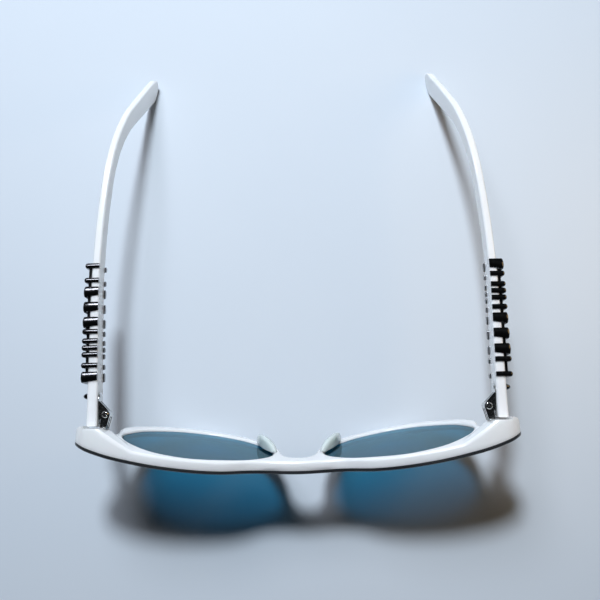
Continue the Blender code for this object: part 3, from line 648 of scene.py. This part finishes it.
def placed_on_temple(back, up, out, pitch):
    """A point given along, above and outside the temple's middle, in the hinge's frame."""
    return Vector(
        (
            temple_middle(back) + out,
            TEMPLE_BUTT_Y + back * math.cos(pitch) + up * math.sin(pitch),
            up * math.cos(pitch) - back * math.sin(pitch),
        )
    )


def temple_blank(pitch):
    places = temple_stations()
    upper = [temple_edge(place, 1) for place in places]
    lower = [temple_edge(place, -1) for place in places]
    tip = temple_line(TEMPLE_LENGTH)[:2]
    mesh = outline_mesh(
        "temple",
        [(lower + [tip] + upper[::-1], 0)],
        TEMPLE_THICKNESS / 2 - TEMPLE_EDGE_ROUND,
        bevel=TEMPLE_EDGE_ROUND,
        bevel_steps=FRONT_ROUND_STEPS,
    )
    sliced(mesh, 0, stations(0.0, temple_line(TEMPLE_LENGTH)[0], STATION_STEP))

    def shape(point):
        share = temple_thickness(point.x) / TEMPLE_THICKNESS
        return placed_on_temple(point.x, point.y, point.z * share, pitch)

    return moved(mesh, shape)


# Hinge, in the frame of its axis


def knuckle_mesh(index, base):
    """One barrel and its arm: the hull of a circle on the axis and the arm's base points."""
    radius = KNUCKLE_DIAMETER / 2
    turns = [2 * math.pi * i / KNUCKLE_SIDES for i in range(KNUCKLE_SIDES)]
    outline = [(radius * math.cos(turn), radius * math.sin(turn)) for turn in turns] + base
    pitch = HINGE_HEIGHT / KNUCKLE_COUNT
    low = -HINGE_HEIGHT / 2 + index * pitch
    work = bmesh.new()
    for height in (low + KNUCKLE_GAP / 2, low + pitch - KNUCKLE_GAP / 2):
        for x, y in outline:
            work.verts.new((x, y, height))
    hull = bmesh.ops.convex_hull(work, input=work.verts)
    inner = [item for item in hull["geom_interior"] if isinstance(item, bmesh.types.BMVert)]
    bmesh.ops.delete(work, geom=inner, context="VERTS")
    mesh = bpy.data.meshes.new("knuckle")
    work.to_mesh(mesh)
    work.free()
    return mesh


def hinge_bore():
    return cylinder_mesh("bore", SCREW_DIAMETER / 2 + BORE_CLEARANCE, -HINGE_HEIGHT, HINGE_HEIGHT)


def front_leaf_plate(grow):
    """The plate let into the end piece."""
    inner, outer = FRONT_LEAF_START - grow, FRONT_LEAF_END + grow
    tall = HINGE_HEIGHT / 2 + grow
    seat = -TEMPLE_SETBACK
    sole = seat - LEAF_THICKNESS - grow
    return box_mesh("plate", (inner, sole, -tall), (outer, seat + grow, tall))


def seat_mesh(end):
    """What is cut off behind the end piece: a flat seat for the temple, a lip and a round corner."""
    side = HINGE_OFFSET + TEMPLE_THICKNESS + TEMPLE_SIDE_GAP
    lip = END_PIECE_LIP - TEMPLE_SETBACK
    corner = (end - END_PIECE_CORNER, lip - END_PIECE_CORNER)
    turns = [math.pi / 2 * i / CORNER_STEPS for i in range(CORNER_STEPS + 1)]
    arc = [
        (corner[0] + END_PIECE_CORNER * math.sin(turn), corner[1] + END_PIECE_CORNER * math.cos(turn))
        for turn in turns
    ]
    inner, outer = -END_PIECE_RAMP, end + WING_REACH
    loop = [(inner, -TEMPLE_SETBACK), (side, -TEMPLE_SETBACK), (side, lip)] + arc
    loop += [(outer, corner[1]), (outer, WING_REACH), (inner, WING_REACH)]
    return outline_mesh("seat", [(loop, 0)], SEAT_REACH)


def front_hinge_mesh():
    leaf = front_leaf_plate(0.0)
    root = -TEMPLE_SETBACK - LEAF_THICKNESS / 2
    base = [(-FRONT_ARM_INNER, root), (FRONT_ARM_OUTER, root)]
    for index in range(0, KNUCKLE_COUNT, 2):
        leaf = combine("UNION", leaf, knuckle_mesh(index, base))
    return combine("DIFFERENCE", leaf, hinge_bore())


def temple_leaf_plate(grow, inner):
    """The tongue let into the temple's inner side, round at its rear end."""
    front = TEMPLE_BUTT_Y + LEAF_THICKNESS - grow
    half = HINGE_HEIGHT / 2 + grow
    rear = TEMPLE_BUTT_Y + LEAF_LENGTH + grow
    round_centre = rear - half
    arc = [
        (round_centre + half * math.sin(turn), half * math.cos(turn))
        for turn in (math.pi * i / TURN_STEPS for i in range(TURN_STEPS + 1))
    ]
    loop = [(front, half)] + arc + [(front, -half)]
    outer = HINGE_OFFSET - LEAF_PROUD + LEAF_THICKNESS + grow
    mesh = outline_mesh("tongue", [(loop, 0)], (outer - inner) / 2)
    mesh.transform(Matrix(((0, 0, 1, (outer + inner) / 2), (1, 0, 0, 0), (0, 1, 0, 0), (0, 0, 0, 1))))
    return mesh


def temple_hinge_mesh():
    leaf = temple_leaf_plate(0.0, HINGE_OFFSET - LEAF_PROUD)
    root = HINGE_OFFSET - LEAF_PROUD + LEAF_THICKNESS / 2
    base = [(root, -TEMPLE_ARM_FRONT), (root, TEMPLE_ARM_REAR)]
    for index in range(1, KNUCKLE_COUNT, 2):
        leaf = combine("UNION", leaf, knuckle_mesh(index, base))
    return combine("DIFFERENCE", leaf, hinge_bore())


def hinge_screw_mesh():
    top = HINGE_HEIGHT / 2
    head, shank = SCREW_HEAD_DIAMETER / 2, SCREW_DIAMETER / 2
    chamfer = SCREW_HEAD_HEIGHT / 3
    profile = (
        (0, top + SCREW_HEAD_HEIGHT),
        (head - chamfer, top + SCREW_HEAD_HEIGHT),
        (head, top + SCREW_HEAD_HEIGHT - chamfer),
        (head, top),
        (shank, top),
        (shank, -top),
        (0, -top),
    )
    screw = turned_mesh("screw", profile, TURN_STEPS)
    slot = box_mesh(
        "slot",
        (-SCREW_HEAD_DIAMETER, -SCREW_SLOT / 2, top + SCREW_HEAD_HEIGHT - SCREW_SLOT),
        (SCREW_HEAD_DIAMETER, SCREW_SLOT / 2, top + 2 * SCREW_HEAD_HEIGHT),
    )
    return combine("DIFFERENCE", screw, slot)


def rivet_mesh():
    """A stud with a domed head outside the temple and a shank through to the leaf."""
    middle = temple_middle(RIVET_SETBACK)
    face = middle + temple_thickness(RIVET_SETBACK) / 2
    inner = HINGE_OFFSET - LEAF_PROUD
    head, shank = RIVET_HEAD_DIAMETER / 2, RIVET_DIAMETER / 2
    turns = [math.pi / 2 * i / DOME_STEPS for i in range(DOME_STEPS + 1)]
    dome = [(head * math.sin(turn), face + RIVET_HEAD_HEIGHT * math.cos(turn)) for turn in turns]
    dome[0] = (0, dome[0][1])
    rivet = turned_mesh("rivet", dome + [(shank, face), (shank, inner), (0, inner)], TURN_STEPS)
    place = Matrix.Translation((0, TEMPLE_BUTT_Y + RIVET_SETBACK, RIVET_RISE))
    rivet.transform(place @ Matrix.Rotation(math.pi / 2, 4, "Y"))
    return rivet


# Clips


def arc_points(centre, start):
    """A quarter turn of the clip's outer corner, clockwise from a start angle."""
    turns = [start - math.pi / 2 * i / CORNER_STEPS for i in range(CORNER_STEPS + 1)]
    return [
        (centre[0] + BAR_CORNER * math.cos(turn), centre[1] + BAR_CORNER * math.sin(turn))
        for turn in turns
    ]


def bar_mesh(along, width, pitch):
    """One clip: over the temple's top, down its outer side, under it and up a short lip inside.

    Its outer side flares towards the front, and its skin is crowned across its width.
    """
    half_thick = temple_thickness(along) / 2
    half_high = temple_height(along) / 2
    near, far = half_high + BAR_GAP, half_high + BAR_GAP + BAR_WALL
    outer = half_thick + BAR_PROUD
    seat = half_thick + RAIL_THICKNESS + 2 * BAR_GAP
    lip = -half_thick - BAR_GAP
    loop = [(lip + BAR_GAP, near), (lip + BAR_GAP, far), (half_thick, far)]
    loop += arc_points((outer - BAR_CORNER, far - BAR_CORNER), math.pi / 2)
    loop += arc_points((outer - BAR_CORNER, BAR_CORNER - far), 0.0)
    loop += [(half_thick, -far), (lip - BAR_LIP, -far), (lip - BAR_LIP, BAR_LIP_RISE - near)]
    loop += [(lip, BAR_LIP_RISE - near), (lip, -near), (seat, -near), (seat, near)]
    flat = width / 2 - BAR_EDGE_ROUND
    mesh = outline_mesh(
        "bar", [(loop, 0)], flat, bevel=BAR_EDGE_ROUND, bevel_steps=BAR_ROUND_STEPS
    )
    sliced(mesh, 2, stations(-flat, flat, BAR_STEP))
    flare = BAR_FLARE + BAR_FLARE_SHARE * (width - BAR_NARROW)

    def shape(point):
        out = max(point.x - half_thick, 0.0) / BAR_PROUD
        ahead = point.z + flare * out * (0.5 + point.z / width)
        fall = BAR_CROWN * (2 * point.z / width) ** 2
        skin = min(max((abs(point.y) - near) / BAR_WALL, 0.0), 1.0)
        side = min(max((point.x - seat) / (outer - seat), 0.0), 1.0)
        up = point.y - math.copysign(fall * skin, point.y)
        return placed_on_temple(along - ahead, up, point.x - fall * side, pitch)

    return moved(mesh, shape)


def bar_row(side):
    """(distance from the butt, width) of each clip of one temple, from front to back."""
    row = BAR_ROW
    if side == "left":
        row = [(1 - share, width) for share, width in reversed(BAR_ROW)]
    return [(BAR_ROW_START[side] + share * BAR_ROW_LENGTH, width) for share, width in row]


# Finishes

NOISE_DETAIL = 3.0


class Nodes:
    """Shorthand for building a node tree."""

    def __init__(self, tree):
        self.tree = tree
        tree.nodes.clear()

    def add(self, kind, values=None, **settings):
        node = self.tree.nodes.new(kind)
        for name, value in settings.items():
            setattr(node, name, value)
        for name, value in (values or {}).items():
            if isinstance(value, bpy.types.NodeSocket):
                self.tree.links.new(value, node.inputs[name])
            else:
                node.inputs[name].default_value = value
        return node

    def ramp(self, factor, stops):
        node = self.add("ShaderNodeValToRGB", {"Fac": factor})
        elements = node.color_ramp.elements
        while len(elements) < len(stops):
            elements.new(0.5)
        for element, (place, colour) in zip(elements, stops):
            element.position = place
            element.color = (*colour, 1.0)
        return node.outputs["Color"]

    def noise(self, scale):
        where = self.add("ShaderNodeTexCoord").outputs["Object"]
        node = self.add("ShaderNodeTexNoise", {"Vector": where, "Scale": scale, "Detail": NOISE_DETAIL})
        return node.outputs["Fac"]

    def span(self, value, low, high):
        node = self.add("ShaderNodeMapRange", {"Value": value, "To Min": low, "To Max": high})
        return node.outputs["Result"]


def new_material(name):
    made = bpy.data.materials.new(name)
    made.use_nodes = True
    return made, Nodes(made.node_tree)


def surface(nodes, shader):
    nodes.add("ShaderNodeOutputMaterial", {"Surface": shader})


GLOW_DEPTH = (3.0 * MM, 3.2 * MM, 3.1 * MM)
DARK_END = 0.3
LIGHT_END = 0.7
GLOSS_GRAIN = 2.3
COAT_ROUGHNESS = 0.06
WAVE_SCALE = 900.0
WAVE_DEPTH = 0.2 * MM


def gloss_material(name, dark, light, scale, rough, metallic=0.0, coat=0.0, bump=0.0, glow=0.0):
    """A polished finish: two close tones, a little unevenness in gloss and a faint wave."""
    made, nodes = new_material(name)
    grain = nodes.noise(scale)
    colour = nodes.ramp(grain, ((DARK_END, dark), (LIGHT_END, light)))
    values = {
        "Base Color": colour,
        "Roughness": nodes.span(nodes.noise(scale * GLOSS_GRAIN), *rough),
        "Metallic": metallic,
        "Coat Weight": coat,
        "Coat Roughness": COAT_ROUGHNESS,
        "Subsurface Weight": glow,
        "Subsurface Radius": GLOW_DEPTH,
        "Subsurface Scale": 1.0,
    }
    if bump:
        wave = nodes.add(
            "ShaderNodeBump",
            {"Height": nodes.noise(WAVE_SCALE), "Strength": bump, "Distance": WAVE_DEPTH},
        )
        values["Normal"] = wave.outputs["Normal"]
    shader = nodes.add("ShaderNodeBsdfPrincipled", values)
    surface(nodes, shader.outputs["BSDF"])
    return made


LENS_IOR = 1.58
LENS_LOW_Z = 6 * MM
LENS_HIGH_Z = 40 * MM
LENS_SHEEN = (0.62, 0.90, 1.0, 1.0)
LENS_TINT = (
    (0.0, (0.19, 0.54, 0.66)),
    (0.5, (0.08, 0.38, 0.50)),
    (1.0, (0.02, 0.18, 0.25)),
)


def lens_material():
    """Tinted sheet, darker to the top, that lets coloured light through to what lies behind it.

    Each colour counts twice, once for each face of the lens.
    """
    made, nodes = new_material("blue_lens")
    where = nodes.add("ShaderNodeTexCoord").outputs["Object"]
    height = nodes.add("ShaderNodeSeparateXYZ", {"Vector": where}).outputs["Z"]
    share = nodes.add(
        "ShaderNodeMapRange",
        {"Value": height, "From Min": LENS_LOW_Z, "From Max": LENS_HIGH_Z},
    ).outputs["Result"]
    tint = nodes.ramp(share, LENS_TINT)
    through = nodes.add("ShaderNodeBsdfRefraction", {"Color": tint, "Roughness": 0.0, "IOR": LENS_IOR})
    mirror = nodes.add("ShaderNodeBsdfGlossy", {"Color": LENS_SHEEN, "Roughness": 0.0})
    bounce = nodes.add("ShaderNodeFresnel", {"IOR": LENS_IOR}).outputs["Fac"]
    seen = nodes.add("ShaderNodeMixShader", {"Fac": bounce})
    nodes.tree.links.new(through.outputs["BSDF"], seen.inputs[1])
    nodes.tree.links.new(mirror.outputs["BSDF"], seen.inputs[2])
    shadow = nodes.add("ShaderNodeBsdfTransparent", {"Color": tint})
    path = nodes.add("ShaderNodeLightPath")
    shader = seen
    for ray in ("Is Diffuse Ray", "Is Shadow Ray"):
        mix = nodes.add("ShaderNodeMixShader", {"Fac": path.outputs[ray]})
        nodes.tree.links.new(shader.outputs["Shader"], mix.inputs[1])
        nodes.tree.links.new(shadow.outputs["BSDF"], mix.inputs[2])
        shader = mix
    surface(nodes, shader.outputs["Shader"])
    return made


PAD_GRAIN = 180.0
PAD_TONES = ((0.3, (0.60, 0.67, 0.65)), (0.7, (0.66, 0.73, 0.70)))
PAD_ROUGHNESS = 0.2
PAD_IOR = 1.45
PAD_GLOW = 0.8


def pad_material():
    """Pale translucent acetate that takes on some of the light behind it."""
    made, nodes = new_material("clear_acetate")
    colour = nodes.ramp(nodes.noise(PAD_GRAIN), PAD_TONES)
    shader = nodes.add(
        "ShaderNodeBsdfPrincipled",
        {
            "Base Color": colour,
            "Roughness": PAD_ROUGHNESS,
            "IOR": PAD_IOR,
            "Subsurface Weight": PAD_GLOW,
            "Subsurface Radius": GLOW_DEPTH,
            "Subsurface Scale": 1.0,
        },
    )
    surface(nodes, shader.outputs["BSDF"])
    return made


FLOOR_GRAIN = 14.0
FLOOR_TONES = ((0.2, (0.664, 0.714, 0.769)), (0.8, (0.682, 0.728, 0.778)))
FLOOR_ROUGHNESS = 0.9
FLOOR_SIZE = 6.0


def floor_material():
    made, nodes = new_material("floor")
    colour = nodes.ramp(nodes.noise(FLOOR_GRAIN), FLOOR_TONES)
    shader = nodes.add("ShaderNodeBsdfPrincipled", {"Base Color": colour, "Roughness": FLOOR_ROUGHNESS})
    surface(nodes, shader.outputs["BSDF"])
    return made


WHITE = gloss_material(
    "white_acetate",
    dark=(0.90, 0.90, 0.885),
    light=(0.93, 0.93, 0.92),
    scale=45.0,
    rough=(0.14, 0.22),
    coat=0.25,
    glow=0.6,
)
BLACK = gloss_material(
    "black_acetate",
    dark=(0.022, 0.024, 0.027),
    light=(0.045, 0.046, 0.048),
    scale=60.0,
    rough=(0.08, 0.14),
    coat=0.4,
)
STEEL = gloss_material(
    "hinge_steel",
    dark=(0.56, 0.56, 0.55),
    light=(0.68, 0.68, 0.67),
    scale=400.0,
    rough=(0.08, 0.18),
    metallic=1.0,
    bump=0.12,
)
WIRE = gloss_material(
    "core_steel",
    dark=(0.48, 0.48, 0.47),
    light=(0.58, 0.58, 0.57),
    scale=300.0,
    rough=(0.25, 0.4),
    metallic=1.0,
    bump=0.1,
)
CHROME = gloss_material(
    "dark_chrome",
    dark=(0.15, 0.15, 0.155),
    light=(0.20, 0.20, 0.205),
    scale=350.0,
    rough=(0.09, 0.18),
    metallic=1.0,
    bump=0.08,
)
LENS = lens_material()
PAD = pad_material()


# Assembly


def finished(name, mesh, finish, place, body, node):
    """Puts a fine piece in place of its CAD node."""
    mesh = mesh.copy()
    mesh.transform(place)
    mesh.materials.clear()
    mesh.materials.append(finish)
    mesh.shade_smooth()
    mesh.set_sharp_from_angle(angle=SHARP_ANGLE)
    obj = tool_object(name, mesh)
    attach(obj, body)
    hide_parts(node)
    return obj


def weighted(obj):
    step = obj.modifiers.new("Normals", "WEIGHTED_NORMAL")
    step.keep_sharp = True
    return obj


def softened(obj, width):
    step = obj.modifiers.new("Edges", "BEVEL")
    step.width = width
    step.segments = EDGE_STEPS
    step.limit_method = "ANGLE"
    step.angle_limit = SHARP_ANGLE
    step.use_clamp_overlap = True
    return weighted(obj)


joints = {joint["child"]: Vector(joint["pos_m"]) for joint in frame["joints"]}
axis = joints["left_temple"]
half_width = (FACE_FORM_RADIUS - FRONT_THICKNESS / 2) * math.sin(
    (EYE_TEMPORAL_U + WING_REACH) / FACE_FORM_RADIUS
)
hinge_u = FACE_FORM_RADIUS * math.asin(axis.x / FACE_FORM_RADIUS)
tilt = Matrix.Rotation(FRONT_TILT, 4, "X")
at_face = tilt @ formed((hinge_u, TEMPLE_V, 0))
front_shift = Vector((0, axis.y - at_face.y - END_PIECE_DEPTH - TEMPLE_SETBACK, axis.z - at_face.z))
front_place = Matrix.Translation(front_shift) @ tilt
pitch = temple_pitch(axis.z)
SIDES = {"left": Matrix.Translation(axis), "right": Matrix.Translation(joints["right_temple"])}

core, laminate = front_meshes()
for cutter in (seat_mesh(half_width - axis.x), front_leaf_plate(LEAF_CLEARANCE)):
    cutter.transform(Matrix.Translation(axis))
    twin = mirrored(cutter)
    for tool in (cutter, twin):
        tool.transform(front_place.inverted())
        core = combine("DIFFERENCE", core, tool)
weighted(finished("front_shell", core, WHITE, front_place, "front", "frame_front"))
weighted(finished("front_sheet", laminate, BLACK, front_place, "front", "front_laminate"))

# Pairs whose meshes are made in the front's own frame; the others are made in the hinge's
FRONT_PAIRS = ("lens", "nose_pad")


def pair(name, mesh, finish, body=None, edge=0.0):
    """The left piece and its mirror twin, in place of CAD nodes NAME_left and NAME_right."""
    for side, place in SIDES.items():
        turned = mesh if side == "left" else mirrored(mesh)
        rides = body or f"{side}_temple"
        where = front_place if name in FRONT_PAIRS else place
        obj = finished(f"{name}_{side}_shown", turned, finish, where, rides, f"{name}_{side}")
        if edge:
            softened(obj, edge)
        else:
            weighted(obj)


pair("lens", lens_mesh(), LENS, body="front")
pair("nose_pad", nose_pad_mesh(), PAD, body="front")
pair("front_hinge", front_hinge_mesh(), STEEL, body="front", edge=HINGE_EDGE)
pair("hinge_screw", hinge_screw_mesh(), STEEL, body="front", edge=HINGE_EDGE / 2)
temple = combine("DIFFERENCE", temple_blank(pitch), temple_leaf_plate(LEAF_CLEARANCE, 0.0))
pair("temple", temple, WHITE)
pair("temple_hinge", temple_hinge_mesh(), STEEL, edge=HINGE_EDGE)
pair("temple_rivet", rivet_mesh(), CHROME)
for side, place in SIDES.items():
    for number, (along, width) in enumerate(bar_row(side), 1):
        clip = bar_mesh(along, width, pitch)
        if side == "right":
            clip = mirrored(clip)
        node = f"ornament_bar_{number:02d}_{side}"
        weighted(finished(f"{node}_shown", clip, CHROME, place, f"{side}_temple", node))
    for name, finish in (("ornament_rail", CHROME), ("temple_core", WIRE)):
        node = frame["nodes"][f"{name}_{side}"]
        node.data.materials.clear()
        node.data.materials.append(finish)
    softened(frame["nodes"][f"ornament_rail_{side}"], RAIL_EDGE)


# Floor, light and camera

bpy.ops.mesh.primitive_plane_add(size=FLOOR_SIZE, location=(0, 0, 0))
floor = bpy.context.object
floor.name = "floor"
floor.data.materials.append(floor_material())


LIGHT_AIM = Vector((0.0, -30.0, 20.0)) * MM


def area_light(name, turn, rise, away, size, power, colour):
    """A round area light aimed at the object, at a turn from +Y towards +X and a rise, in degrees."""
    lamp = bpy.data.lights.new(name, "AREA")
    lamp.shape = "DISK"
    lamp.size = size
    lamp.energy = power
    lamp.color = colour
    obj = bpy.data.objects.new(name, lamp)
    bpy.context.scene.collection.objects.link(obj)
    aside, above = math.radians(turn), math.radians(rise)
    level = math.cos(above)
    direction = Vector((math.sin(aside) * level, math.cos(aside) * level, math.sin(above)))
    obj.location = LIGHT_AIM + direction * away
    obj.rotation_euler = direction.to_track_quat("Z", "Y").to_euler()


area_light("key", turn=-9.0, rise=59.0, away=0.65, size=0.10, power=3.4, colour=(0.80, 0.90, 1.0))
area_light("broad", turn=-20.0, rise=53.0, away=0.65, size=0.24, power=1.65, colour=(0.86, 0.90, 1.0))
area_light("warm", turn=75.0, rise=30.0, away=0.20, size=0.08, power=0.04, colour=(1.0, 0.66, 0.30))

# World light by height, from the level of the floor upward
SKY_TONES = ((0.0, (0.22, 0.24, 0.26)), (0.2, (0.04, 0.045, 0.05)), (0.5, (0.010, 0.011, 0.012)))
world = bpy.data.worlds.new("studio")
bpy.context.scene.world = world
world.use_nodes = True
sky = Nodes(world.node_tree)
up = sky.add("ShaderNodeSeparateXYZ", {"Vector": sky.add("ShaderNodeTexCoord").outputs["Generated"]})
tone = sky.ramp(up.outputs["Z"], SKY_TONES)
light = sky.add("ShaderNodeBackground", {"Color": tone, "Strength": 1.0})
sky.add("ShaderNodeOutputWorld", {"Surface": light.outputs["Background"]})

PHOTO_WIDTH = 600
PHOTO_FOCAL = 820
SENSOR_WIDTH = 36.0
NEAR_CLIP = 10 * MM
CAMERA_PLACE = Vector((4.8, -46.8, 309.0)) * MM
CAMERA_TILT = math.radians(6.43)
CAMERA_TURN = math.radians(5.65)
CAMERA_ROLL = math.radians(7.0)
lens_data = bpy.data.cameras.new("camera")
lens_data.sensor_width = SENSOR_WIDTH
lens_data.lens = PHOTO_FOCAL / PHOTO_WIDTH * SENSOR_WIDTH
lens_data.clip_start = NEAR_CLIP
camera = bpy.data.objects.new("camera", lens_data)
bpy.context.scene.collection.objects.link(camera)
camera.matrix_world = (
    Matrix.Translation(CAMERA_PLACE)
    @ Matrix.Rotation(CAMERA_TURN, 4, "Z")
    @ Matrix.Rotation(CAMERA_TILT, 4, "X")
    @ Matrix.Rotation(-CAMERA_ROLL, 4, "Z")
)
bpy.context.scene.camera = camera
bpy.context.scene.view_settings.view_transform = "Standard"
